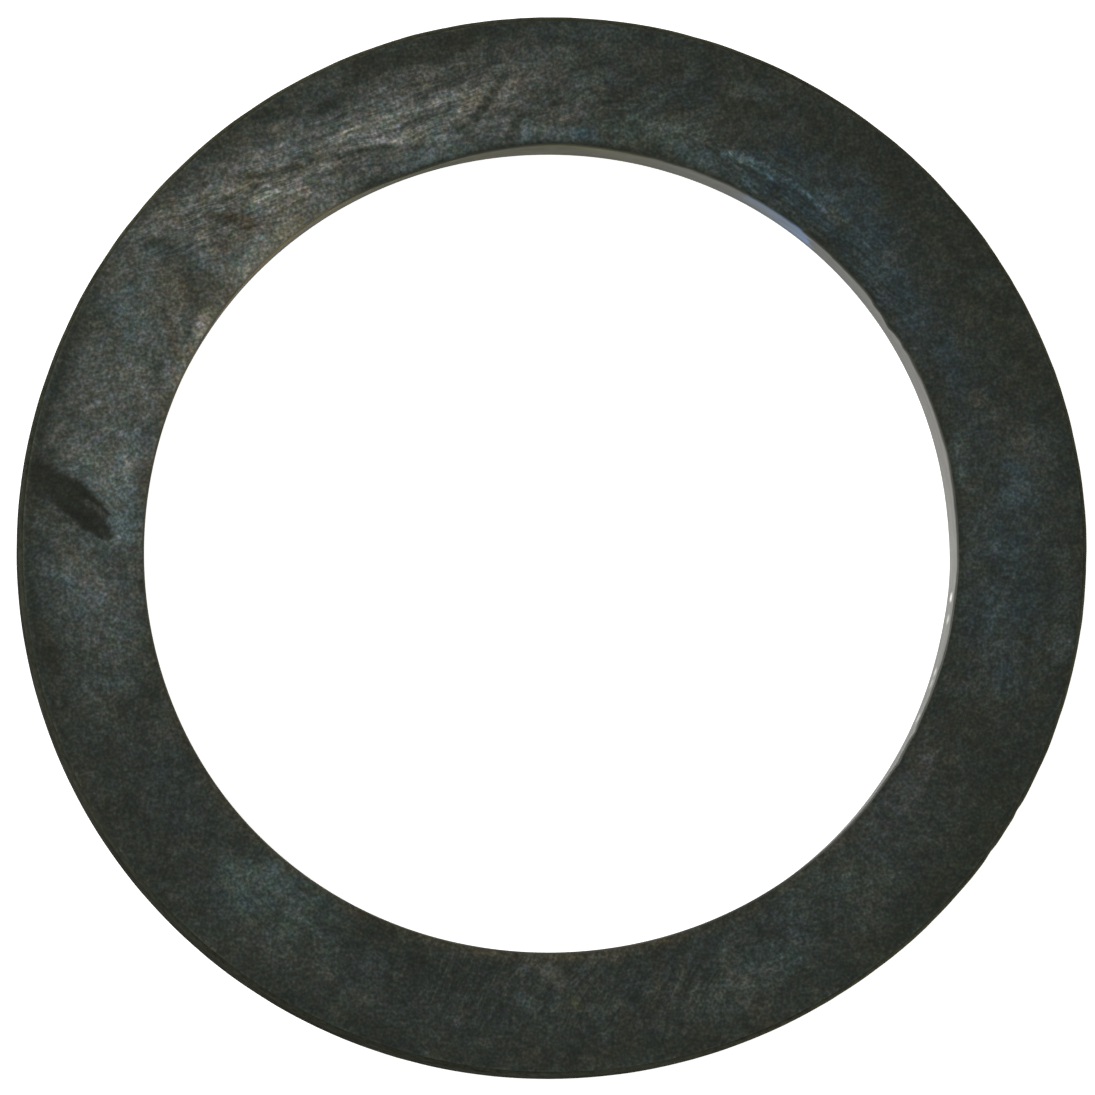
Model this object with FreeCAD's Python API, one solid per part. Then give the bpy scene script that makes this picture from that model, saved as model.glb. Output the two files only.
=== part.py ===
import FreeCAD, Part
import math
import os

# Flat ring gasket, moulded in one piece from black rubber.
# It lies flat: the origin is the centre of its underside, and +Z is the axis of its bore.
# Lengths are in millimetres.

# Driving dimensions
bore_diameter = 50.8         # 2 in, the same as the pipe that the ring seals
face_width = 7.9375          # 5/16 in of flat sealing face between the bore and the rim
thickness = 6.35             # 1/4 in, squeezed between the two halves of the coupling
rim_edge_radius = 0.4        # soft edges that the mould leaves round the rim
bore_edge_radius = 0.2       # crisper edges where the core was trimmed out of the bore

# Sizes that follow from them
bore_x = bore_diameter / 2
rim_x = bore_x + face_width
largest_round = 0.45 * min(face_width, thickness)    # what the slimmer side of the section can carry
rim_round = min(rim_edge_radius, largest_round)
bore_round = min(bore_edge_radius, largest_round)


def corner_arc(centre_x, centre_z, radius, start_angle):
    """A quarter turn, anticlockwise in the XZ plane, given by its first, middle and last points."""
    points = []
    for turned in (0, 45, 90):
        angle = math.radians(start_angle + turned)
        x = centre_x + radius * math.cos(angle)
        z = centre_z + radius * math.sin(angle)
        points.append(FreeCAD.Vector(x, 0, z))
    return points


def ring_section():
    """The section of the ring in the XZ plane: a rectangle with four rounded corners."""
    corners = [
        corner_arc(rim_x - rim_round, rim_round, rim_round, -90),
        corner_arc(rim_x - rim_round, thickness - rim_round, rim_round, 0),
        corner_arc(bore_x + bore_round, thickness - bore_round, bore_round, 90),
        corner_arc(bore_x + bore_round, bore_round, bore_round, 180),
    ]
    edges = []
    for corner, next_corner in zip(corners, corners[1:] + corners[:1]):
        edges.append(Part.Arc(*corner).toShape())
        edges.append(Part.LineSegment(corner[-1], next_corner[0]).toShape())
    return Part.Face(Part.Wire(edges))


def gasket_ring():
    """The whole gasket: its section turned once round the axis of the bore."""
    on_axis = FreeCAD.Vector(0, 0, 0)
    bore_axis = FreeCAD.Vector(0, 0, 1)
    return ring_section().revolve(on_axis, bore_axis, 360)


os.makedirs("parts", exist_ok=True)

ring = gasket_ring()
ring.exportStep("parts/gasket_ring.step")
print("gasket_ring: valid", ring.isValid(), "solids", len(ring.Solids), "volume", round(ring.Volume, 1), "mm3")
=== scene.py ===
import bpy
import bmesh
import math
import numpy as np
from mathutils import Matrix, Vector, noise


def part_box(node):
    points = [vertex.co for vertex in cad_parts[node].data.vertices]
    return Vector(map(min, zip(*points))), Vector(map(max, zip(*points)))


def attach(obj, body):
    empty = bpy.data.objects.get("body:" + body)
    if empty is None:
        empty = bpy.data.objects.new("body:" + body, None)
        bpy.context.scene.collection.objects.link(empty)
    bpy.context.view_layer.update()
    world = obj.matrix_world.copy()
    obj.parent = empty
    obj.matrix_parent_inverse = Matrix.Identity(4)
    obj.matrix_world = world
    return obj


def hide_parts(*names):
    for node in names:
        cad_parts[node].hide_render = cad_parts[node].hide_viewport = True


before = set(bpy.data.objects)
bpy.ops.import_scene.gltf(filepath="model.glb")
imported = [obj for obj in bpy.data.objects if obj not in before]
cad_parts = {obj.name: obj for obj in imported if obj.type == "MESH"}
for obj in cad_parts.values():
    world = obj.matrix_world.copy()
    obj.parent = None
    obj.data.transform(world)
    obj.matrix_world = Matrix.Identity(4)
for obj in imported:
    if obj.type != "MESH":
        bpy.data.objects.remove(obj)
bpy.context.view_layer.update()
ringLow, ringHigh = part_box("gasket_ring")
mm = 0.001
print("frame loaded: ring is", round((ringHigh - ringLow).x / mm, 3), "mm across")


def addNode(tree, kind, inputs=None, **settings):
    node = tree.nodes.new("ShaderNode" + kind)
    for name, value in settings.items():
        setattr(node, name, value)
    for socket, value in (inputs or {}).items():
        if isinstance(value, bpy.types.NodeSocket):
            tree.links.new(value, node.inputs[socket])
        else:
            node.inputs[socket].default_value = value
    return node


def hexColour(code):    # from an sRGB code to linear light
    linear = []
    for start in (0, 2, 4):
        share = int(code[start:start + 2], 16) / 255
        linear.append(share / 12.92 if share <= 0.04045 else ((share + 0.055) / 1.055) ** 2.4)
    return (*linear, 1)


# The ring: one section, turned round the bore's axis
ringShape = {
    "borePlace": 25.4 * mm,
    "rimPlace": ringHigh.x,
    "height": ringHigh.z,
    "rimRound": 0.4 * mm,
    "boreRound": 0.2 * mm,
    "roundSegments": 4,
    "faceCuts": 35,    # cells about 0.2 mm wide on the top face
    "undersideCuts": 9,
    "wallCuts": 7,
    "nickReach": 2.5 * mm,    # how far down a nick in the rim goes
    "turns": 1200,    # 0.13 mm a step at the bore, two pixels of the photo
}


def pickVerts(ring, wanted):
    bpy.ops.mesh.select_mode(type="VERT")
    bpy.ops.mesh.select_all(action="DESELECT")
    mesh = bmesh.from_edit_mesh(ring.data)
    for vert in mesh.verts:
        vert.select = wanted(vert.co)
    mesh.select_flush(True)
    bmesh.update_edit_mesh(ring.data)


def turnRing(shape):
    bpy.ops.object.select_all(action="DESELECT")
    width = shape["rimPlace"] - shape["borePlace"]
    middle = (shape["rimPlace"] + shape["borePlace"]) / 2
    height = shape["height"]
    bpy.ops.mesh.primitive_plane_add(size=1, location=(middle, 0, height / 2), rotation=(math.pi / 2, 0, 0))
    ring = bpy.context.object
    ring.name = "rubberRing"
    ring.scale = (width, height, 1)
    bpy.ops.object.transform_apply(location=True, rotation=True, scale=True)

    bpy.ops.object.mode_set(mode="EDIT")
    pickVerts(ring, lambda place: place.x > middle)
    bpy.ops.mesh.bevel(offset=shape["rimRound"], segments=shape["roundSegments"], affect="VERTICES")
    pickVerts(ring, lambda place: place.x < middle)
    bpy.ops.mesh.bevel(offset=shape["boreRound"], segments=shape["roundSegments"], affect="VERTICES")
    bpy.ops.mesh.select_all(action="SELECT")
    bpy.ops.mesh.delete(type="ONLY_FACE")    # leaves the section's outline

    hair = 0.001 * mm
    pickVerts(ring, lambda place: place.z > height - hair)
    bpy.ops.mesh.subdivide(number_cuts=shape["faceCuts"])
    pickVerts(ring, lambda place: place.z < hair)
    bpy.ops.mesh.subdivide(number_cuts=shape["undersideCuts"])
    pickVerts(ring, lambda place: place.x > shape["rimPlace"] - hair)
    bpy.ops.mesh.subdivide(number_cuts=shape["wallCuts"])
    pickVerts(ring, lambda place: place.x < shape["borePlace"] + hair)
    bpy.ops.mesh.subdivide(number_cuts=shape["wallCuts"])
    bpy.ops.object.mode_set(mode="OBJECT")

    turn = ring.modifiers.new("turn", "SCREW")
    turn.axis = "Z"
    turn.angle = 2 * math.pi
    turn.steps = shape["turns"]
    turn.render_steps = shape["turns"]
    turn.use_merge_vertices = True
    turn.merge_threshold = hair
    bpy.ops.object.modifier_apply(modifier=turn.name)

    bpy.ops.object.mode_set(mode="EDIT")
    bpy.ops.mesh.select_all(action="SELECT")
    bpy.ops.mesh.normals_make_consistent(inside=False)
    bpy.ops.object.mode_set(mode="OBJECT")
    bpy.ops.object.shade_smooth()
    return ring


def readPlaces(ring):
    places = np.empty(len(ring.data.vertices) * 3)
    ring.data.vertices.foreach_get("co", places)
    return places.reshape(-1, 3)


def readSection(ring):
    places = readPlaces(ring)
    return np.hypot(places[:, 0], places[:, 1]), places[:, 2]


def ease(values, start, full):
    share = np.clip((values - start) / (full - start), 0, 1)
    return share * share * (3 - 2 * share)


def easeFrom(values, edge, zone):
    start, full = zone
    return ease(values, edge + start, edge + full)


# Sides of the ring: (direction on the plan in degrees, cosine where a side starts, cosine where it is full)
ringSides = {
    "ragged": (20, 0.3, 0.7),     # the rest of the bore's edge is clean
    "key": (160, 0.1, 0.7),       # where the rounded rim would catch the light; painted shade darkens it there
    "near": (-140, 0.1, 0.6),     # where the camera sees down the outer wall; painted shade darkens it there
}


def sideShare(turn, side):
    direction, start, full = side
    return ease(np.cos(turn - math.radians(direction)), start, full)


# How far this soft ring is from true circles: (waves round the ring, height, where the first crest lies)
ringWaves = {
    "oval": (2, 0.133 * mm, -1),
    "threeLobed": (3, 0.045 * mm, -71),
    "fourLobed": (4, 0.02 * mm, -121),
}

# Its bore is off centre and out of round in its own way
boreWaves = {
    "shift": (1, 0.275 * mm, -130),
    "oval": (2, 0.113 * mm, 112),
    "threeLobed": (3, 0.04 * mm, 133),
    "fourLobed": (4, 0.072 * mm, 167),
}

# Where the bore's edge stands out of true: (x, y, half-width, how far into the bore, how far down)
boreMarks = [
    (21.1 * mm, 14.3 * mm, 1.4 * mm, 0.17 * mm, 2 * mm),
    (14.6 * mm, 20.9 * mm, 3.0 * mm, 0.08 * mm, 2.5 * mm),
    (20.2 * mm, 15.2 * mm, 0.35 * mm, 0.08 * mm, 2 * mm),
    (21.2 * mm, 13.9 * mm, 0.35 * mm, 0.08 * mm, 2 * mm),
    (22.1 * mm, 12.6 * mm, 0.3 * mm, 0.06 * mm, 2 * mm),
    (18.4 * mm, 17.3 * mm, 2.2 * mm, 0.09 * mm, 2.5 * mm),
    (-8.8 * mm, 23.6 * mm, 3.2 * mm, 0.18 * mm, 2.5 * mm),
    (24.9 * mm, 5.5 * mm, 5.0 * mm, -0.08 * mm, 2.5 * mm),
    (24.6 * mm, -6.3 * mm, 2.6 * mm, -0.08 * mm, 2.5 * mm),
    (25.3 * mm, -1.5 * mm, 2.6 * mm, -0.09 * mm, 20 * mm),
    (0.0 * mm, 25.3 * mm, 3.0 * mm, -0.12 * mm, 2.5 * mm),
    (22.5 * mm, -11.5 * mm, 0.35 * mm, -0.09 * mm, 2.5 * mm),
    (21.7 * mm, -13.5 * mm, 0.4 * mm, -0.07 * mm, 2.5 * mm),
]

# Small nicks in the rim: (x, y, half-width, depth)
rimNicks = [
    (29.2 * mm, -16.5 * mm, 0.35 * mm, 0.07 * mm),
    (27.3 * mm, -19.0 * mm, 0.4 * mm, 0.06 * mm),
]


def lumpAt(places, x, y, halfWidth):
    away = np.hypot(places[:, 0] - x, places[:, 1] - y)
    return np.exp(-(away / halfWidth) ** 2)


def relaxRing(ring, shape, boreMarks, rimNicks):
    places = readPlaces(ring)
    radius = np.hypot(places[:, 0], places[:, 1])
    turn = np.arctan2(places[:, 1], places[:, 0])
    inner = ease(radius, (shape["borePlace"] + shape["rimPlace"]) / 2, shape["borePlace"])
    down = shape["height"] - places[:, 2]
    push = np.zeros(len(places))
    for waves, share in ((ringWaves, 1), (boreWaves, inner)):
        for count, size, crest in waves.values():
            push += share * size * np.cos(count * turn - math.radians(crest))
    for x, y, halfWidth, size, reach in boreMarks:
        push -= size * lumpAt(places, x, y, halfWidth) * inner * ease(down, reach, 0)
    for x, y, halfWidth, depth in rimNicks:
        push -= depth * lumpAt(places, x, y, halfWidth) * (1 - inner) * ease(down, shape["nickReach"], 0)
    places[:, :2] *= (1 + push / radius)[:, None]
    ring.data.vertices.foreach_set("co", places.ravel())
    ring.data.update()


# Relief of the moulding: size of the lumps, height, direction and where it acts
ringRelief = {
    "faceSwell": {"lump": 7 * mm, "height": 0.09 * mm, "direction": "Z", "where": "body"},
    "faceLumps": {"lump": 1.1 * mm, "height": 0.03 * mm, "direction": "Z", "where": "body"},
    "boreLip": {"lump": 1.5 * mm, "height": 0.12 * mm, "direction": "NORMAL", "where": "lip"},
    "rimLip": {"lump": 2.2 * mm, "height": 0.06 * mm, "direction": "NORMAL", "where": "rim"},
}


# The edges of its zones: (where a zone starts, where it is full), both measured from an edge of the section
reliefZones = {
    "lipWidth": (0.8 * mm, 0.1 * mm),      # from the bore
    "lipDepth": (-2.2 * mm, -0.1 * mm),    # from the upper face
    "rimWidth": (-1.5 * mm, 0),            # from the rim
    "rimFoot": (0, 1 * mm),                # from the underside
}


def markZone(ring, name, weights):
    zone = ring.vertex_groups.new(name=name)
    steps = 20
    stepped = np.round(weights * steps).astype(int)
    for step in range(1, steps + 1):
        zone.add(np.flatnonzero(stepped == step).tolist(), step / steps, "REPLACE")


def roughenRing(ring, shape, section, relief, zones):
    places = readPlaces(ring)
    radius, level = section
    height = shape["height"]
    ragged = sideShare(np.arctan2(places[:, 1], places[:, 0]), ringSides["ragged"])
    nearBore = easeFrom(radius, shape["borePlace"], zones["lipWidth"])
    nearRim = easeFrom(radius, shape["rimPlace"], zones["rimWidth"])
    markZone(ring, "body", level / height)
    markZone(ring, "lip", nearBore * ragged * easeFrom(level, height, zones["lipDepth"]))
    markZone(ring, "rim", nearRim * easeFrom(level, 0, zones["rimFoot"]))
    for name, one in relief.items():
        clouds = bpy.data.textures.new(name, "CLOUDS")
        clouds.noise_scale = one["lump"]
        clouds.noise_depth = 2
        push = ring.modifiers.new(name, "DISPLACE")
        push.texture = clouds
        push.strength = one["height"]
        push.mid_level = 0.5
        push.direction = one["direction"]
        push.vertex_group = one["where"]
        bpy.ops.object.modifier_apply(modifier=push.name)
    ring.vertex_groups.clear()


ring = turnRing(ringShape)
print("ring turned:", len(ring.data.vertices), "vertices")
section = readSection(ring)
relaxRing(ring, ringShape, boreMarks, rimNicks)
roughenRing(ring, ringShape, section, ringRelief, reliefZones)
print("ring shaped")

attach(ring, "root")
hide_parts("gasket_ring")


# Tones of the rubber, and of what lies on it
ringTones = {
    "rubber": "212621",      # bare moulded face
    "deep": "1a1e14",        # where no bloom is left; the rim and the bore's upper edge also use it for painted shade
    "oil": "0c1004",         # the dark smear on the left
    "dustAndSheen": "464843",        # wax bloom, rubbed about, and painted sheen where light fell from the upper left
    "chalk": "63655e",
    "cream": "5c5b50",
    "ash": "343630",
    "slate": "30343a",
    "moss": "343e37",
    "sage": "394341",
    "teal": "353f3d",
    "frost": "4a5554",
    "blue": "2f4349",
    "lagoon": "2d3a3a",
    "ink": "212c2f",
    "brown": "3c3a2e",
    "umber": "28210f",
    "ochre": "45431f",
    "olive": "292c24",       # rounded rim: olive tint, darker as painted shade
    "rind": "3b3a2d",        # worn edge of the rim
    "loam": "2f302a",        # outer wall
    "bare": "2e2f29",        # bore wall where no film lies
    "bark": "2f2d21",        # beside the bore, left and below
    "fleck": "e6e6de",       # specks on the bore wall
}

# Marks on the upper face: tone, how far it covers, and its path as (x, y, width) in millimetres
faceMarks = [
    # wax bloom, rubbed over the left and the top; its broad haze is partly a painted sheen from light at the
    # upper left
    ("dustAndSheen", 0.45, [(-27.5, -5.5, 7), (-28, 0, 9), (-27, 7.5, 9.5), (-24.3, 14, 9.5), (-20, 19.8, 9.5),
                    (-14.5, 24, 9.5), (-7.5, 27, 9), (-3, 27.8, 6.5)]),
    ("dustAndSheen", 0.42, [(-28.5, 6, 7), (-25, 14.5, 8), (-20.5, 20, 9), (-14.5, 24.5, 9), (-8, 27.3, 8),
                    (-4, 28, 6)]),
    ("dustAndSheen", 0.30, [(-30.4, 6.5, 3), (-28.2, 12.5, 3)]),
    ("dustAndSheen", 0.50, [(-28, 14.4, 3), (-26, 18.4, 3.4), (-21.6, 23, 3), (-18, 25.6, 2)]),
    ("dustAndSheen", 0.35, [(-4, 30.8, 2), (0, 30.5, 2.4)]),
    ("sage", 0.36, [(-28, -6, 8), (-28.5, 1, 9), (-27.6, 8, 9), (-26, 15, 7)]),
    ("deep", 0.30, [(-31.6, 8.6, 1.6), (-29.6, 14.5, 1.6)]),
    ("dustAndSheen", 0.15, [(0, 27, 6), (4, 27.2, 6), (9.5, 25.8, 3)]),
    ("frost", 0.45, [(-1.6, 25.8, 1.1), (1, 25.8, 1.1)]),
    ("ash", 0.60, [(3.4, 31.4, 1.6), (8.4, 29.9, 1.6)]),
    ("chalk", 0.30, [(-20, 16.8, 2.4), (-17.3, 19.2, 3), (-14, 21.8, 2.8)]),
    ("cream", 0.45, [(-16, 20.2, 0.9), (-18.6, 17.9, 1.1), (-20.6, 15.7, 1.1), (-22.3, 13.1, 1),
                     (-23.5, 10.8, 0.8)]),
    ("bark", 0.45, [(-24.4, 8.8, 0.9), (-25.4, 4, 0.9), (-25.8, 0, 0.9)]),
    ("chalk", 0.18, [(-28.6, 6, 3), (-25.7, 6.8, 3.5), (-23.9, 10, 2.5), (-22.8, 12.8, 3), (-24.3, 15, 3)]),
    ("chalk", 0.60, [(-28.6, 16, 2.4), (-26.8, 19.2, 2.8), (-24, 22.8, 1.8)]),
    ("frost", 0.35, [(-28.4, 5.6, 3), (-27.2, 1.4, 2.8)]),
    ("frost", 0.35, [(-8.6, 24.6, 2.4), (-5.8, 25.5, 2.6)]),
    ("dustAndSheen", 0.35, [(-30.2, 7, 3.5), (-27, 4.5, 3)]),
    ("dustAndSheen", 0.40, [(-29.6, -0.8, 2), (-28, -4.2, 2.2)]),
    ("chalk", 0.20, [(-23.5, 20, 4), (-17.5, 23, 4), (-12, 25.6, 1.6), (-6, 27.8, 1.8), (-3, 28.6, 2)]),
    # its brightest streaks
    ("chalk", 0.35, [(-23.4, 21.2, 0.9), (-18.6, 23.4, 0.8)]),
    ("cream", 0.45, [(-20.3, 22.3, 0.7), (-17, 23.4, 1), (-14, 24.3, 0.6)]),
    ("chalk", 0.26, [(-18.6, 24, 0.8), (-14, 25.4, 1.1), (-10, 26.6, 0.8)]),
    ("chalk", 0.18, [(-14.2, 26.2, 0.7), (-9, 27.4, 0.9), (-6, 28.1, 0.7)]),
    ("chalk", 0.55, [(-19.2, 21.2, 0.8), (-17.5, 21.7, 1.3), (-15.6, 22.2, 0.8)]),
    ("chalk", 0.70, [(-18.6, 21.4, 0.6), (-17.9, 21.6, 0.6)]),
    ("chalk", 0.35, [(-12, 24.6, 1), (-7, 26.1, 0.8)]),
    ("chalk", 0.28, [(-10.4, 25.2, 1.4), (-7, 26.5, 1.4)]),
    ("cream", 0.80, [(-19.9, 16.4, 1.1), (-17.8, 18.7, 1.5), (-15.8, 20.2, 0.8)]),
    ("chalk", 0.55, [(-22.3, 12.8, 1), (-21.2, 14.8, 1.2)]),
    ("cream", 0.35, [(-23.6, 10, 1), (-22.4, 12.4, 1)]),
    ("frost", 0.60, [(-27, 5.6, 0.8), (-26.7, 3.4, 1.2), (-26.8, 0.8, 0.9)]),
    ("chalk", 0.60, [(-26.9, 5.6, 0.3), (-26.6, 4.7, 0.4), (-26.7, 3.8, 0.3)]),
    ("teal", 0.55, [(-29, 15.2, 1.6), (-27.3, 14.3, 2.8), (-25.4, 12.2, 1.8)]),
    ("frost", 0.40, [(-27.8, 15.3, 1.4), (-26.2, 13.8, 2)]),
    ("frost", 0.50, [(-27.2, 15.8, 0.4), (-25.3, 16.4, 0.5)]),
    # where it is wiped off or stained, upper left
    ("oil", 0.88, [(-33.6, 4.9, 1.3), (-31.8, 4.2, 1.9), (-30.2, 3.2, 2), (-28.9, 1.9, 1.9),
                   (-27.8, 1, 0.9)]),
    ("umber", 0.40, [(-33, 3.4, 1.1), (-33.2, 0.4, 1)]),
    ("oil", 0.75, [(-32.2, 4.9, 0.7), (-30, 3.9, 0.7), (-28.6, 2.6, 0.5), (-27.8, 1.8, 0.3)]),
    ("oil", 0.85, [(-31, 2.7, 0.6), (-29.2, 1.3, 0.8), (-28.2, 0.5, 0.35)]),
    ("dustAndSheen", 0.35, [(-29.3, 2.7, 0.35), (-28.3, 2, 0.3)]),
    ("umber", 0.60, [(-21.6, 20.7, 0.7), (-20.4, 20.4, 1)]),
    ("umber", 0.60, [(-20.2, 20.7, 0.8), (-19.2, 20.2, 1.2)]),
    ("umber", 0.45, [(-18.9, 20.1, 0.6), (-18.2, 19.8, 0.7)]),
    ("umber", 0.45, [(-21.4, 19.6, 0.8), (-20.8, 18.6, 0.9)]),
    ("deep", 0.50, [(-24.8, 18.7, 1.3), (-22.3, 17, 1.6)]),
    ("brown", 0.55, [(-24, 17, 2), (-21, 15.6, 2.2)]),
    ("brown", 0.30, [(-22, 19.4, 1.4), (-20.6, 18.6, 1.4)]),
    ("umber", 0.35, [(-24.3, 14.6, 0.6), (-23.7, 12, 0.8)]),
    ("deep", 0.55, [(-19, 26.7, 1.2), (-17.3, 27.1, 1.6), (-15.9, 27.3, 1)]),
    ("brown", 0.55, [(-20.8, 25.3, 1.2), (-17.2, 26, 1.2)]),
    ("dustAndSheen", 0.60, [(-17.4, 28.4, 1.3), (-13.8, 29.8, 1.3)]),
    ("deep", 0.60, [(-15.1, 27.2, 0.8), (-13.4, 27.9, 0.9)]),
    ("deep", 0.65, [(-13, 29.1, 0.9), (-9, 30.6, 1.3), (-5, 31.8, 1.2)]),
    ("deep", 0.65, [(-19.6, 22.9, 0.5), (-15.5, 23.8, 0.45)]),
    ("deep", 0.70, [(-15.1, 24.1, 0.5), (-10.5, 25, 0.5)]),
    ("deep", 0.55, [(-11, 24.8, 0.45), (-8, 25, 0.45)]),
    ("deep", 0.65, [(-3.2, 29.3, 0.6), (-4.8, 26.8, 0.7)]),
    ("deep", 0.60, [(-2, 27, 0.7), (-3, 25.5, 0.6)]),
    ("rubber", 0.45, [(-11.6, 22.6, 1.2), (-9, 23.9, 1.2)]),
    # upper right
    ("moss", 0.50, [(0.5, 31.1, 1), (3, 31, 1.1)]),
    ("moss", 0.50, [(2, 29.4, 1.2), (3.2, 29.6, 0.8)]),
    ("moss", 0.45, [(3, 26.4, 1.1), (6.5, 26.4, 1.6), (9.5, 25.8, 1)]),
    ("moss", 0.25, [(4.5, 27.2, 1.6), (8, 26.3, 1.4)]),
    ("moss", 0.40, [(4, 25.7, 0.9), (8, 25.1, 1)]),
    ("sage", 0.60, [(-1, 32.5, 1.2), (4, 32.2, 1.2)]),
    ("blue", 0.60, [(1.7, 26, 0.6), (2.3, 25.9, 0.6)]),
    ("deep", 0.50, [(5.8, 29.5, 1.2), (8.1, 30.1, 1)]),
    ("deep", 0.45, [(3.3, 28, 0.9), (3.9, 28, 0.9)]),
    ("deep", 0.45, [(0, 28.2, 0.8), (0, 27.8, 0.8)]),
    ("deep", 0.40, [(7.8, 28.3, 0.4), (10, 29.3, 0.4)]),
    ("deep", 0.50, [(6, 27.1, 0.45), (8.5, 27.5, 0.4)]),
    ("deep", 0.50, [(11, 28, 1.6), (13.5, 26.9, 1.4)]),
    ("sage", 0.40, [(11.6, 28.7, 1.1), (13.6, 28.4, 1.1)]),
    ("ink", 0.90, [(12, 23.8, 2.2), (16, 21.5, 2.6), (19.5, 18.4, 3), (22.5, 14.6, 2.2)]),
    ("ink", 0.36, [(22.5, 14.6, 2.2), (25.3, 11, 2), (26.8, 7.5, 2)]),
    ("ink", 0.90, [(14.5, 25, 1.6), (18, 22.8, 2.6), (21, 19.8, 2)]),
    ("deep", 0.55, [(14, 22, 0.8), (15.8, 20.5, 1), (17.4, 18.8, 0.8)]),
    ("deep", 0.32, [(15.8, 21.8, 1.4), (18.4, 19.4, 1.6), (20.6, 16.6, 1.6)]),
    ("ink", 0.60, [(17, 23.6, 1.6), (19.4, 21.8, 1.8), (22, 19.4, 1.6)]),
    ("deep", 0.35, [(17.4, 24, 1.8), (19.6, 22.2, 1.8), (22.2, 19, 1.4)]),
    ("blue", 0.80, [(10.6, 24.7, 0.4), (12.2, 24.1, 0.6), (13.8, 23.1, 0.4)]),
    ("frost", 0.35, [(10.8, 24.7, 0.4), (12.6, 24, 0.5)]),
    ("lagoon", 0.50, [(8.2, 24.6, 1.8), (10.6, 23.8, 2), (12.6, 22.6, 1)]),
    ("blue", 0.30, [(12.6, 24.8, 0.3), (15.5, 23.2, 0.35), (18.6, 20.8, 0.3)]),
    ("blue", 0.38, [(13, 24, 0.3), (15.6, 22.4, 0.35), (18, 20.4, 0.4)]),
    ("blue", 0.35, [(14.4, 22.2, 0.3), (16.8, 20.6, 0.35), (18.2, 19.2, 0.3)]),
    ("ash", 0.45, [(17.3, 21.1, 0.8), (18.4, 20.2, 0.8)]),
    ("lagoon", 0.25, [(18.5, 19.8, 1.2), (21, 16.5, 1.4)]),
    ("deep", 0.72, [(16.5, 25.2, 3), (21, 23, 4), (25, 18.5, 4.5), (28.8, 13, 4), (31.3, 9, 2.4)]),
    ("ink", 0.45, [(17, 24.2, 1.8), (19.6, 22.4, 1.8)]),
    ("ash", 0.40, [(26.6, 9.4, 1.5), (28.5, 7.2, 2.4), (31, 5.4, 1.8)]),
    ("deep", 0.30, [(22.2, 13.4, 1), (24, 10.6, 1.2)]),
    # lower right
    ("ink", 0.32, [(28.5, 5, 4.5), (28.5, 0, 5), (28.3, -5, 4.5)]),
    ("lagoon", 0.12, [(28.5, 5, 4.5), (28.5, 0, 5), (28.3, -5, 4.5)]),
    ("rubber", 0.55, [(25.8, -1.4, 1.1), (25.6, -4.2, 1.1)]),
    ("deep", 0.35, [(24.8, -6.6, 1.6), (24.2, -9.6, 1.6)]),
    ("lagoon", 0.50, [(25.5, 7, 1.2), (25.4, 4.4, 1.2)]),
    ("sage", 0.25, [(32, -0.4, 1.2), (32, -3, 1.4)]),
    ("sage", 0.42, [(31.9, -3.6, 1.2), (31.9, -6.2, 1.8)]),
    ("deep", 0.55, [(28.8, -5, 0.4), (30.2, -6.3, 0.5), (31.6, -7.9, 0.5)]),
    ("ink", 0.30, [(27.4, -6, 1.8), (28.6, -9, 1.8)]),
    ("deep", 0.60, [(27, -11, 4.5), (28, -14, 5), (27, -18, 5), (24.5, -21.8, 3.5)]),
    ("deep", 0.40, [(27.5, -15.6, 1.6), (28.4, -16.2, 1.6)]),
    ("deep", 0.90, [(28, -16.8, 2.6), (26, -20.5, 3.4), (24.5, -22.3, 3)]),
    ("deep", 0.65, [(26.8, -18.8, 2.6), (24.8, -21.8, 2.6), (19, -27, 2.4)]),
    ("slate", 0.22, [(23.4, -13.4, 1.4), (21.8, -16, 2.2), (19.7, -18.2, 1.6)]),
    ("ash", 0.30, [(23.4, -13.4, 1.4), (21.8, -16, 2.2), (19.7, -18.2, 1.6)]),
    ("slate", 0.25, [(21.8, -13.8, 0.6), (23, -15.2, 0.6)]),
    ("moss", 0.25, [(15, -21.6, 3), (19.8, -20.4, 3)]),
    ("moss", 0.35, [(14.6, -25.6, 2.2), (12, -27.2, 3.2), (9.6, -29, 2)]),
    ("ash", 0.30, [(13.4, -27, 2.4), (10.4, -28.6, 2.2)]),
    ("ash", 0.75, [(10.8, -25.6, 1.2), (11.6, -28, 1.4), (13.6, -29.7, 1.4)]),
    ("slate", 0.12, [(13.2, -23.2, 1), (15.4, -24.6, 1.2)]),
    ("ash", 0.40, [(8.4, -25.8, 0.4), (7.5, -29, 0.4)]),
    ("ash", 0.35, [(6.8, -26, 0.4), (6.1, -29, 0.4)]),
    ("ash", 0.35, [(9.4, -26.2, 0.4), (8.6, -28.6, 0.4)]),
    ("ochre", 0.25, [(1.3, -28.4, 0.4), (1.7, -28.9, 0.4)]),
    ("brown", 0.40, [(3.1, -25.7, 1), (4, -25.7, 1)]),
    ("deep", 0.50, [(4, -31.6, 1.4), (10, -31.2, 1.4)]),
    ("deep", 0.80, [(9.5, -23.6, 0.9), (13, -21.9, 0.9), (16.5, -19.2, 0.9)]),
    # lower left
    ("ash", 0.75, [(-1.4, -25.7, 1), (0.3, -27.1, 1.1)]),
    ("teal", 0.50, [(-1.9, -28.2, 0.8), (-1.6, -28.7, 0.8)]),
    ("moss", 0.45, [(-20.2, -20.2, 1.6), (-18.2, -21.8, 4), (-14, -23, 2.4)]),
    ("teal", 0.38, [(-19, -22.4, 2.6), (-16.4, -23, 2.4)]),
    ("teal", 0.35, [(-17.6, -20.6, 1.6), (-15.4, -20.8, 1.4)]),
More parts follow.
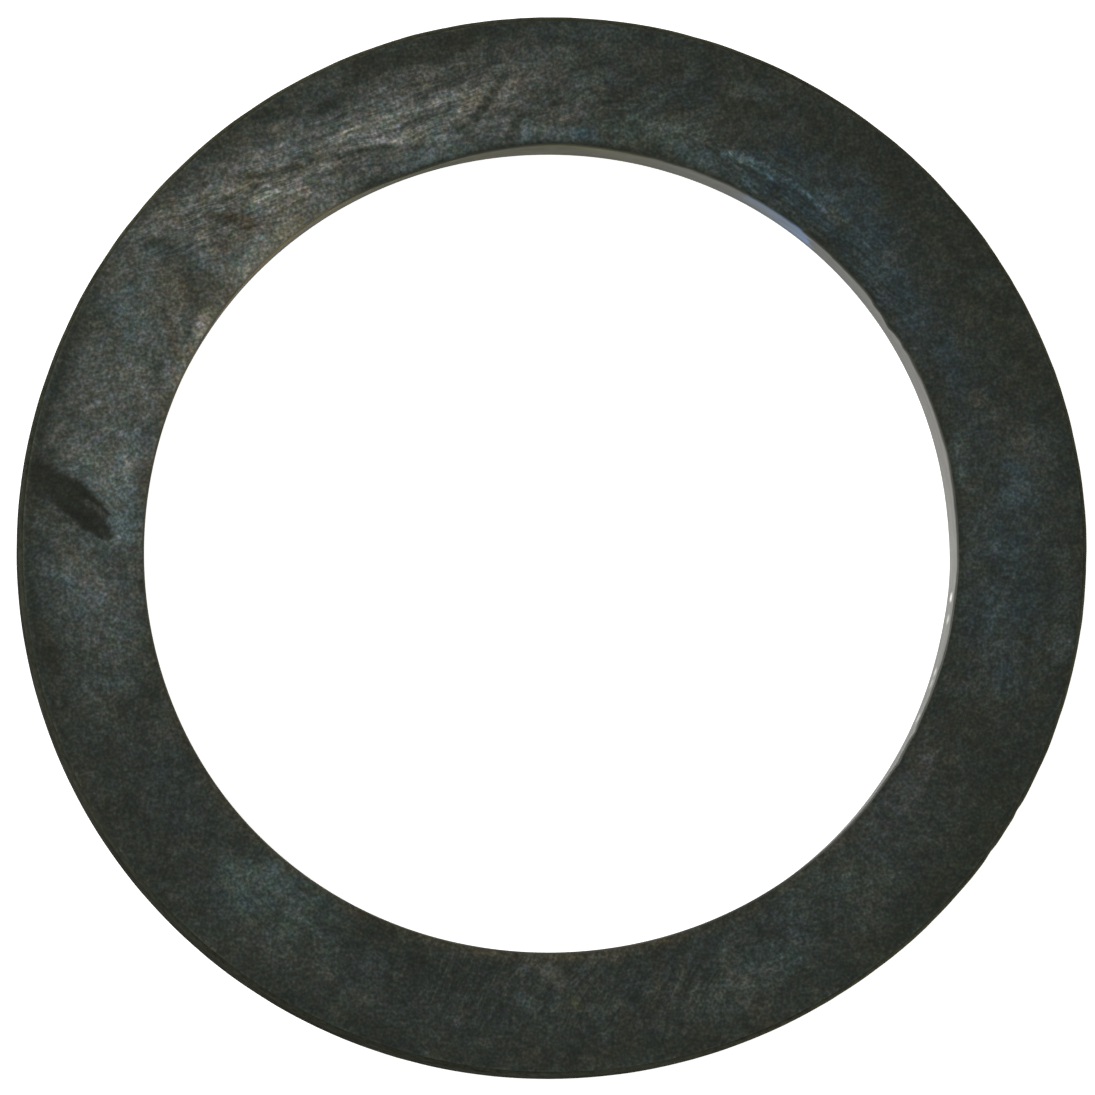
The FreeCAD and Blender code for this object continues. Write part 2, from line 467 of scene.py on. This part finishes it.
    ("moss", 0.30, [(-17, -24.2, 2), (-14.4, -26, 2)]),
    ("frost", 0.25, [(-16.6, -22.8, 0.5), (-13.8, -24.8, 0.4)]),
    ("ash", 0.35, [(-18, -25.2, 2.2), (-14.6, -26.8, 2)]),
    ("deep", 0.50, [(-12.4, -24, 2.2), (-9, -25.4, 2.2), (-6, -27, 2.2)]),
    ("deep", 0.30, [(-26.6, -16, 2.2), (-25.5, -18.5, 2.2)]),
    ("deep", 0.30, [(-15, -29.2, 1.8), (-11, -30.9, 1.8)]),
    ("ash", 0.60, [(-30, -13.4, 1.4), (-28.8, -16, 1.3)]),
    ("deep", 0.45, [(-32.1, -4.8, 0.9), (-31.1, -7.7, 1.1)]),
    ("oil", 0.45, [(-32.6, -5, 0.5), (-31.8, -6.6, 0.9), (-31, -8, 0.7)]),
    ("teal", 0.40, [(-29, -8.4, 1.2), (-26.4, -8.9, 1.2)]),
    ("ash", 0.40, [(-24.7, -11.8, 1.4), (-24.2, -12.4, 1.4)]),
    ("deep", 0.45, [(-26, -7.5, 1), (-25, -9.6, 1)]),
    ("deep", 0.50, [(-27, -10.4, 2.6), (-24.6, -8.4, 3), (-25.2, -5, 2)]),
]

# Where rubbing has left fibrous streaks: their direction in degrees, then how strong they are along a path
rubbedZones = {
    "rising": (19, [
        (1.0, [(-24, 19, 5), (-18, 22.6, 6.5)]),
        (0.8, [(-18, 22.6, 6.5), (-11, 26.5, 7), (-4, 28.5, 6)]),
        (0.5, [(-4, 28.5, 7), (8, 27.8, 6)]),
        (0.28, [(-30, 3, 5), (-28, 9, 6), (-24, 16, 6)]),
        (0.35, [(13, -26, 6), (18, -22, 6)]),
    ]),
    "steep": (63, [
        (0.6, [(-8, -27.5, 5), (0, -28, 7), (9, -27.5, 6)]),
        (0.3, [(-26, 7, 4), (-24, 13.5, 4)]),
        (0.3, [(28, -8, 7), (29, 2, 7)]),
    ]),
    "falling": (-37, [
        (0.75, [(10, 24.8, 3), (15, 21.8, 3.5), (19, 18.5, 3), (21, 15.5, 3)]),
        (0.4, [(-18, -23, 5), (-10, -27, 5)]),
    ]),
}


# How marks stray from their paths, and how patchy they are
markLook = {
    "seed": 5,
    "broadLump": 2.5,     # sizes of the two noises, in millimetres
    "fineLump": 0.6,
    "broadStray": 0.5,    # how far each carries a mark off its path, in millimetres
    "fineStray": 0.16,
    "broadPatch": 1.1,    # how much each thins and thickens a faint mark
    "finePatch": 0.6,
    "wide": 3,            # a narrower mark strays less
    "softFrom": 2.4,      # a wider mark has a soft edge
    "softness": 2,
    "firmness": 4,
}

# Tones of the rim: (where a tone starts, where it is full), measured from the rim or up from the nearer face
rimLook = {
    "shade": (-4 * mm, -0.4 * mm),          # painted shade: the face darkens towards the rim
    "shadeCover": 0.45,
    # painted shade on the key-light side of the rim
    "keyPaintedShade": (-1.2 * mm, -0.4 * mm),
    "keyShadeCover": 0.6,
    # olive on the rounded edge, partly painted shade
    "round": (-0.4 * mm, -0.15 * mm),
    "wall": (-0.2 * mm, 0),
    "wallFoot": (0.08 * mm, 0.35 * mm),
    "nearWallShade": 0.18,                        # painted shade: how much darker the wall is on the near side
    "worn": (-0.25 * mm, -0.1 * mm),
    "wornFoot": (0.9 * mm, 0.5 * mm),
    "wornCover": 0.75,
    "nearRindShade": 0.62,                       # painted shade: how much less of it shows on the near side
}

# Arcs of the bore: (middle in degrees, how far off it an arc ends, how far off it is full)
boreArcs = {
    "seenEdge": (40, 90, 70),    # where the camera sees down the wall from its upper edge; painted shade darkens that edge
    "seenWall": (45, 92, 66),
    "blue": (56, 9, 6),          # where the sky-blue patch lies
}

# Tones of the bore, measured from it or along its wall
boreLook = {
    "unseenEdge": (1 * mm, 0.2 * mm),
    "unseenCover": 0.7,
    # painted shade along the bore's rounded upper edge, where the wall is seen
    "seenEdge": (0.5 * mm, 0.2 * mm),
    "seenShadeCover": 0.8,
    "wall": (0.12 * mm, 0.02 * mm),
    "broadRound": 2.5,                      # how far the film and its painted shade stray round the bore, in degrees
    "fineRound": 1.5,
    "endStray": 16,
    "depthStray": 0.8 * mm,
    "bareDepth": (0.45 * mm, 1.2 * mm),     # out of sight the film and its painted shade end this far below the upper face
    "blueStray": 2 * mm,
    "blueFoot": (2.6 * mm, 0.8 * mm),       # the sky-blue patch runs out above the underside
    "blueBare": 0.8,
}

# The film on the bore's wall, round the bore, its tone partly painted shade and painted reflection: darker
# and browner at the upper left where the wall reflected shaded floor, paler grey at the right where it
# reflected lit floor: (angle on the plan, tone, roughness)
boreFilmAndShade = [
    (-180, "46401f", 0.80),
    (-100, "403d26", 0.72),
    (-60, "2a2922", 0.60),
    (-30, "3c3c36", 0.50),
    (0, "444339", 0.48),
    (25, "3c3a32", 0.55),
    (42, "34362c", 0.62),
    (50.3, "2c2e26", 0.68),
    (50.8, "36587c", 0.66),    # a sky-blue patch
    (54, "304860", 0.66),
    (61.6, "30404c", 0.66),
    (62.1, "2e312a", 0.68),
    (70, "343522", 0.70),
    (82, "38371e", 0.78),
    (92, "3c3a20", 0.82),
    (104, "34321a", 0.90),
    (116, "3a381c", 0.88),
    (128, "54491e", 0.86),
    (142, "5c5026", 0.84),
    (158, "524822", 0.82),
    (180, "46401f", 0.80),
]

# Pale specks on it: (height of the place on the plan in millimetres, how pale)
boreFlecks = [(-3.0, 1.0), (-4.4, 0.5), (-7.7, 0.45), (-8.4, 0.3), (-10.6, 0.5)]

# Their shape in millimetres
fleckShape = {
    "halfWidth": 0.28,
    "slimness": 0.35,
    "level": 4,
    "scatter": 0.6,    # how far they lie above or below that level
    "scatterRate": 40,
}

wallMottle = 0.4    # how much each noise darkens and lightens the two walls


def linearTone(name):
    return np.array(hexColour(ringTones[name])[:3])


def mixTone(tone, other, share):
    share = np.clip(share, 0, 1)[:, None]
    return tone * (1 - share) + other * share


def layTone(tone, name, share):
    return mixTone(tone, linearTone(name), share)


def strokeCover(spots, path):
    cover = np.zeros(len(spots))
    for start, end in zip(path, path[1:]):
        x, y, width = start
        run = np.array([end[0] - x, end[1] - y])
        share = np.clip(((spots - (x, y)) @ run) / (run @ run), 0, 1)
        away = np.hypot(spots[:, 0] - x - share * run[0], spots[:, 1] - y - share * run[1])
        edge = markLook["softness"] if width > markLook["softFrom"] else markLook["firmness"]
        cover = np.maximum(cover, np.exp(-(2 * away / (width + share * (end[2] - width))) ** edge))
    return cover


def wander(places, lump):
    shifts = np.empty((len(places), 3))
    for index, place in enumerate(places / lump):
        shifts[index] = noise.noise_vector(place)
    return shifts


def arcShare(turn, arc, stray=0):
    middle, end, full = arc
    return ease(np.abs(turn - middle) + stray, end, full)


def filmAndShadeRound(turn):
    angles, codes, roughness = zip(*boreFilmAndShade)
    colours = np.array([hexColour(code)[:3] for code in codes])
    filmAndShade = [np.interp(turn, angles, channel) for channel in colours.T]
    return np.column_stack(filmAndShade), np.interp(turn, angles, roughness)


def surveyRing(ring, shape, section):
    places = readPlaces(ring) / mm
    radius, level = section
    noise.seed_set(markLook["seed"])    # or else each run would draw other noise
    broad = wander(places, markLook["broadLump"])
    fine = wander(places, markLook["fineLump"])
    spots = places[:, :2].copy()
    spots[level < shape["height"] / 2] *= (1, -1)    # the underside has the same marks, turned over
    return {
        "places": places,
        "spots": spots,
        "turn": np.arctan2(places[:, 1], places[:, 0]),
        "radius": radius,
        "level": level,
        "fromFace": np.minimum(level, shape["height"] - level),
        "broad": broad,
        "fine": fine,
        "mottle": (1 + wallMottle * broad[:, 2] + wallMottle * fine[:, 2])[:, None],
    }


def paintMarks(tone, survey, marks, look):
    broad = survey["broad"]
    fine = survey["fine"]
    for name, strength, path in marks:
        loose = min(1, max(width for x, y, width in path) / look["wide"])
        warped = survey["spots"] + look["broadStray"] * loose * broad[:, :2] + look["fineStray"] * fine[:, :2]
        patches = look["broadPatch"] * loose * broad[:, 2] + look["finePatch"] * fine[:, 2]
        tone = layTone(tone, name, strength * strokeCover(warped, path) * (1 + (1 - strength) * patches))
    return tone


def paintRim(tone, survey, rim, look):
    radius = survey["radius"]
    fromFace = survey["fromFace"]
    keySide = sideShare(survey["turn"], ringSides["key"])
    nearSide = sideShare(survey["turn"], ringSides["near"])
    # Painted shade: darker towards the rim, more on the key-light side, and a dark olive on the round, to
    # hold back the highlight the round would catch
    tone = layTone(tone, "deep", look["shadeCover"] * easeFrom(radius, rim, look["shade"]))
    tone = layTone(tone, "deep", look["keyShadeCover"] * keySide * easeFrom(radius, rim, look["keyPaintedShade"]))
    tone = layTone(tone, "olive", easeFrom(radius, rim, look["round"]))
    # painted shade: the outer wall and its worn edge are darker on the near side
    wallTone = linearTone("loam") * survey["mottle"] * (1 - look["nearWallShade"] * nearSide)[:, None]
    tone = mixTone(tone, wallTone, easeFrom(radius, rim, look["wall"]) * ease(fromFace, *look["wallFoot"]))
    worn = easeFrom(radius, rim, look["worn"]) * ease(fromFace, *look["wornFoot"])
    return layTone(tone, "rind", (look["wornCover"] - look["nearRindShade"] * nearSide) * worn)


def paintFlecks(tone, survey, onWall):
    places = survey["places"]
    onRight = onWall * (places[:, 0] > 0)
    for y, paleness in boreFlecks:
        level = fleckShape["level"] + fleckShape["scatter"] * math.sin(fleckShape["scatterRate"] * y)
        away = np.hypot(places[:, 1] - y, fleckShape["slimness"] * (survey["level"] / mm - level))
        tone = layTone(tone, "fleck", onRight * paleness * np.exp(-(away / fleckShape["halfWidth"]) ** 4))
    return tone


def paintBore(tone, survey, shape, look):
    turn = np.degrees(survey["turn"])
    radius = survey["radius"]
    level = survey["level"]
    broad = survey["broad"]
    bore = shape["borePlace"]
    # painted shade: the bore's rounded upper edge is darker where the camera sees down the wall
    seen = arcShare(turn, boreArcs["seenEdge"])
    tone = layTone(tone, "deep", look["seenShadeCover"] * seen * easeFrom(radius, bore, look["seenEdge"]))

    strayed = turn + look["broadRound"] * broad[:, 2] + look["fineRound"] * survey["fine"][:, 2]
    # the film's tone round the bore is partly painted shade and painted reflection
    filmAndShade, sheen = filmAndShadeRound(strayed)
    inSight = arcShare(turn, boreArcs["seenWall"], look["endStray"] * broad[:, 2])
    depth = shape["height"] - level + look["depthStray"] * broad[:, 1]
    filmAndShade = layTone(filmAndShade, "bare", (1 - inSight) * ease(depth, *look["bareDepth"]))
    low = ease(level + look["blueStray"] * broad[:, 0], *look["blueFoot"])
    filmAndShade = layTone(filmAndShade, "bare", look["blueBare"] * arcShare(turn, boreArcs["blue"]) * low)
    onWall = easeFrom(radius, bore, look["wall"])
    tone = mixTone(tone, filmAndShade * survey["mottle"], onWall)
    return paintFlecks(tone, survey, onWall), sheen


def rubbedShares(survey):
    warped = survey["spots"] + markLook["broadStray"] * survey["broad"][:, :2]
    shares = []
    for direction, strokes in rubbedZones.values():
        covers = [strength * strokeCover(warped, path) for strength, path in strokes]
        shares.append(np.max(covers, axis=0))
    return np.column_stack(shares)


def storeColour(ring, name, values):
    stored = ring.data.attributes.new(name, "FLOAT_COLOR", "POINT")
    stored.data.foreach_set("color", np.column_stack([values, np.ones(len(values))]).ravel())


def paintRing(ring, shape, section):
    survey = surveyRing(ring, shape, section)
    bore = shape["borePlace"]
    tone = np.tile(linearTone("rubber"), (len(survey["places"]), 1))
    unseen = 1 - arcShare(np.degrees(survey["turn"]), boreArcs["seenEdge"])
    besideBore = easeFrom(survey["radius"], bore, boreLook["unseenEdge"])
    tone = layTone(tone, "bark", boreLook["unseenCover"] * unseen * besideBore)
    tone = paintMarks(tone, survey, faceMarks, markLook)
    tone = paintRim(tone, survey, shape["rimPlace"], rimLook)
    tone, sheen = paintBore(tone, survey, shape, boreLook)
    storeColour(ring, "tone", tone)
    storeColour(ring, "rubbed", rubbedShares(survey))
    stored = ring.data.attributes.new("sheen", "FLOAT", "POINT")
    stored.data.foreach_set("value", sheen)


paintRing(ring, ringShape, section)
print("ring painted")


rubberIor = 1.52
noiseMiddle = 0.5


def newRubber(name, specular):
    material = bpy.data.materials.new(name)
    material.use_nodes = True
    shader = material.node_tree.nodes["Principled BSDF"]
    shader.inputs["IOR"].default_value = rubberIor
    shader.inputs["Specular IOR Level"].default_value = specular
    return material, material.node_tree, shader


def mathNode(tree, operation, *values):
    return addNode(tree, "Math", dict(enumerate(values)), operation=operation).outputs[0]


def vectorNode(tree, operation, *values):
    return addNode(tree, "VectorMath", dict(enumerate(values)), operation=operation).outputs[0]


def scaledVector(tree, vector, scale):
    return addNode(tree, "VectorMath", {0: vector, "Scale": scale}, operation="SCALE").outputs[0]


def objectPlace(tree):
    return addNode(tree, "TexCoord").outputs["Object"]


def painted(tree, name, output):
    return addNode(tree, "Attribute", attribute_name=name).outputs[output]


def noiseNode(tree, place, size, detail, roughness):
    inputs = {"Vector": place, "Scale": 1 / size, "Detail": detail, "Roughness": roughness}
    return addNode(tree, "TexNoise", inputs).outputs


def aboutZero(tree, value, depth):
    return mathNode(tree, "MULTIPLY_ADD", value, depth, -depth * noiseMiddle)


def addBump(tree, shader, height, distance):
    bump = addNode(tree, "Bump", {"Height": height, "Distance": distance, "Strength": 1.0})
    tree.links.new(bump.outputs[0], shader.inputs["Normal"])


# Nitrile rubber, compression moulded: near black and matt, its wax bloom rubbed into a mottled grey
faceLook = {
    # size in mm, depth, then the detail and roughness of the noise
    "grains": [(0.2, 2.5, 1, 0.5), (1.4, 2.3, 2, 1.0), (6, 0.6, 1, 0.6)],
    "fibres": [(1.5, 0.19, 2.6), (4.5, 0.32, 2.4)],    # rubbing marks: length and width in mm, depth
    "fibreNoise": (2, 0.7),
    "bend": (2.5, 0.9),                                # their bends: size and sideways reach in mm
    "bendNoise": (0, 0.5),
    "evenTint": (0.98, 1, 0.98),
    "tints": [(0.3, 0.64, 0.6), (0.9, 0.58, 0.52)],    # size in mm, red, blue
    "tintNoise": (1, 0.7),
    "casts": [(2.4, 0.36, 0.32), (8.0, 0.16, 0.18)],   # size in mm, redder or else bluer
    "castNoise": (1, 0.6),
    "glint": (0.09, 0, 0.12),                          # painted glint: how much redder and bluer a lighter grain is, towards the white of a specular glint
    "bump": 0.005 * mm,
    "roughness": 0.65,
    "specular": 0.2,
}


def grainAndRelief(tree, place, zones, look):
    grain = 0    # grains and streaks, each about zero, are added up
    for size, depth, detail, roughness in look["grains"]:
        speck = noiseNode(tree, place, size, detail, roughness)[0]
        grain = mathNode(tree, "ADD", grain, aboutZero(tree, speck, depth))
    relief = grain    # the bump leaves out the streaks, which keeps the render short
    bendSize, reach = look["bend"]
    bend = noiseNode(tree, place, bendSize, *look["bendNoise"])[1]
    bent = vectorNode(tree, "MULTIPLY_ADD", bend, (reach, reach, 0), place)
    for (direction, strokes), zone in zip(rubbedZones.values(), zones):
        for length, width, depth in look["fibres"]:
            turned = (0, 0, math.radians(direction))
            inputs = {"Vector": bent, "Rotation": turned, "Scale": (length, width, 1)}
            along = addNode(tree, "Mapping", inputs, vector_type="TEXTURE").outputs[0]
            fibre = noiseNode(tree, along, 1, *look["fibreNoise"])[0]
            grain = mathNode(tree, "MULTIPLY_ADD", aboutZero(tree, fibre, depth), zone, grain)
    return grain, relief


# Close up red and blue stray each on their own, further off from brown to blue
def strayTint(tree, place, grain, look):
    tint = look["evenTint"]
    for size, red, blue in look["tints"]:
        fleck = noiseNode(tree, place, size, *look["tintNoise"])[1]
        fleck = vectorNode(tree, "SUBTRACT", fleck, (noiseMiddle, noiseMiddle, noiseMiddle))
        tint = vectorNode(tree, "MULTIPLY_ADD", fleck, (red, 0, blue), tint)
    for size, red, blue in look["casts"]:
        cast = noiseNode(tree, place, size, *look["castNoise"])[0]
        cast = mathNode(tree, "SUBTRACT", cast, noiseMiddle)
        tint = vectorNode(tree, "MULTIPLY_ADD", cast, (red, 0, -blue), tint)
    # the lighter grains carry a painted glint
    return vectorNode(tree, "MULTIPLY_ADD", grain, look["glint"], tint)


def mouldedNitrileRubber(look):
    material, tree, shader = newRubber("mouldedNitrileRubber", look["specular"])
    place = scaledVector(tree, objectPlace(tree), 1 / mm)
    zones = addNode(tree, "SeparateColor", {0: painted(tree, "rubbed", "Color")}).outputs
    grain, relief = grainAndRelief(tree, place, zones, look)
    grained = scaledVector(tree, painted(tree, "tone", "Color"), mathNode(tree, "EXPONENT", grain))
    tinted = vectorNode(tree, "MULTIPLY", grained, strayTint(tree, place, grain, look))
    tree.links.new(tinted, shader.inputs["Base Color"])
    addBump(tree, shader, relief, look["bump"])
    shader.inputs["Roughness"].default_value = look["roughness"]
    return material


wallNoise = (3, 0.6)    # detail and roughness of the lines on both walls


# Fine lines along a wall, about zero: they change quickly with height and slowly round the ring
def wallLines(tree, lines):
    around, upward, depth = lines
    place = vectorNode(tree, "MULTIPLY", objectPlace(tree), (around / mm, around / mm, upward / mm))
    return aboutZero(tree, noiseNode(tree, place, 1, *wallNoise)[0], depth)


# The same rubber where it was moulded against a smooth core: a soft sheen under a thin film, whose tone
# carries painted shade and painted reflection round the bore
coreLook = {
    "lines": (0.12, 1.6, 1.2),    # how many to a millimetre round the ring and upwards, then their depth
    "lineGloss": -0.12,           # a lighter line is a little glossier
    "bump": 0.01 * mm,
    "specular": 0.35,
}


def coreSmoothNitrileRubber(look):
    material, tree, shader = newRubber("coreSmoothNitrileRubber", look["specular"])
    lines = wallLines(tree, look["lines"])
    lined = scaledVector(tree, painted(tree, "tone", "Color"), mathNode(tree, "ADD", lines, 1))
    tree.links.new(lined, shader.inputs["Base Color"])
    roughness = mathNode(tree, "MULTIPLY_ADD", lines, look["lineGloss"], painted(tree, "sheen", "Fac"))
    tree.links.new(roughness, shader.inputs["Roughness"])
    addBump(tree, shader, lines, look["bump"])
    return material


# The same rubber where the rim was trimmed: dull, with fine lines along it
trimLook = {
    "lines": (0.1, 2.2, 1.3),
    "pits": (3, 3, 1.6),
    "darkest": 0.2,
    "bump": 0.01 * mm,
    "roughness": 0.9,
    "specular": 0,
}


def trimmedNitrileRubber(look):
    material, tree, shader = newRubber("trimmedNitrileRubber", look["specular"])
    shade = mathNode(tree, "ADD", wallLines(tree, look["lines"]), wallLines(tree, look["pits"]))
    shade = mathNode(tree, "MAXIMUM", mathNode(tree, "ADD", shade, 1), look["darkest"])
    lined = scaledVector(tree, painted(tree, "tone", "Color"), shade)
    tree.links.new(lined, shader.inputs["Base Color"])
    addBump(tree, shader, shade, look["bump"])
    shader.inputs["Roughness"].default_value = look["roughness"]
    return material


# Which faces have which of the three finishes, measured from the bore and from the rim
finishEdges = {
    "core": 0.1 * mm,
    "trim": -0.2 * mm,
}


def dressRing(ring, shape, section):
    ring.data.materials.append(mouldedNitrileRubber(faceLook))
    ring.data.materials.append(coreSmoothNitrileRubber(coreLook))
    ring.data.materials.append(trimmedNitrileRubber(trimLook))
    corners = np.empty(len(ring.data.loops), dtype=np.int32)
    ring.data.loops.foreach_get("vertex_index", corners)
    radius = section[0][corners.reshape(-1, 4)].mean(axis=1)    # all its faces have four corners
    finish = np.zeros(len(radius), dtype=np.int32)
    finish[radius < shape["borePlace"] + finishEdges["core"]] = 1
    finish[radius > shape["rimPlace"] + finishEdges["trim"]] = 2
    ring.data.polygons.foreach_set("material_index", finish)


dressRing(ring, ringShape, section)
print("ring dressed")


# Floor, light and camera
studio = {
    "floorSide": 8,
    "paper": "f2f2f0",
    "paperRoughness": 0.9,
    "paperGlow": 0.7,
    "ambient": 0.45,
}

# Two soft boxes: (place, side, watts)
softBoxes = {
    "keyBox": ((-0.9, 0.45, 0.8), 0.7, 14),
    "fillBox": ((0.8, -0.7, 0.9), 0.9, 6),
}

cameraPlace = {
    "distance": 1289 * mm,
    "tilt": 4.5,             # degrees off the bore's axis
    "towards": (-0.643, -0.766),
    "lens": 677.4,
    "aim": (-0.368 * mm, -0.092 * mm),
    "clip": (0.1, 10),
}


def layFloor(look):
    bpy.ops.object.select_all(action="DESELECT")
    bpy.ops.mesh.primitive_plane_add(size=look["floorSide"])
    floor = bpy.context.object
    floor.name = "paleFloor"
    paper = bpy.data.materials.new("whitePaper")
    paper.use_nodes = True
    shader = paper.node_tree.nodes["Principled BSDF"]
    shader.inputs["Base Color"].default_value = hexColour(look["paper"])
    shader.inputs["Roughness"].default_value = look["paperRoughness"]
    shader.inputs["Emission Color"].default_value = (1, 1, 1, 1)
    shader.inputs["Emission Strength"].default_value = look["paperGlow"]
    floor.data.materials.append(paper)
    return floor


def lightRoom(look):
    world = bpy.data.worlds.new("studio")
    world.use_nodes = True
    background = world.node_tree.nodes["Background"]
    background.inputs["Color"].default_value = (1, 1, 1, 1)
    background.inputs["Strength"].default_value = look["ambient"]
    bpy.context.scene.world = world
    bpy.context.scene.view_settings.view_transform = "Standard"


def hangBoxes(boxes):
    for name, (place, side, power) in boxes.items():
        data = bpy.data.lights.new(name, "AREA")
        data.size = side
        data.energy = power
        box = bpy.data.objects.new(name, data)
        bpy.context.scene.collection.objects.link(box)
        box.location = place
        box.rotation_euler = Vector(place).to_track_quat("Z", "Y").to_euler()


def placeCamera(place):
    data = bpy.data.cameras.new("camera")
    camera = bpy.data.objects.new("camera", data)
    bpy.context.scene.collection.objects.link(camera)
    tilt = math.radians(place["tilt"])
    sideways = Vector((*place["towards"], 0)).normalized() * math.sin(tilt)
    back = sideways + Vector((0, 0, math.cos(tilt)))
    right = Vector((0, 1, 0)).cross(back).normalized()
    up = back.cross(right)
    camera.location = Vector((*place["aim"], ringHigh.z)) + back * place["distance"]
    camera.rotation_euler = Matrix((right, up, back)).transposed().to_euler()
    data.lens = place["lens"]
    data.clip_start, data.clip_end = place["clip"]
    bpy.context.scene.camera = camera


floor = layFloor(studio)
lightRoom(studio)
hangBoxes(softBoxes)
placeCamera(cameraPlace)
print("floor, light and camera set")
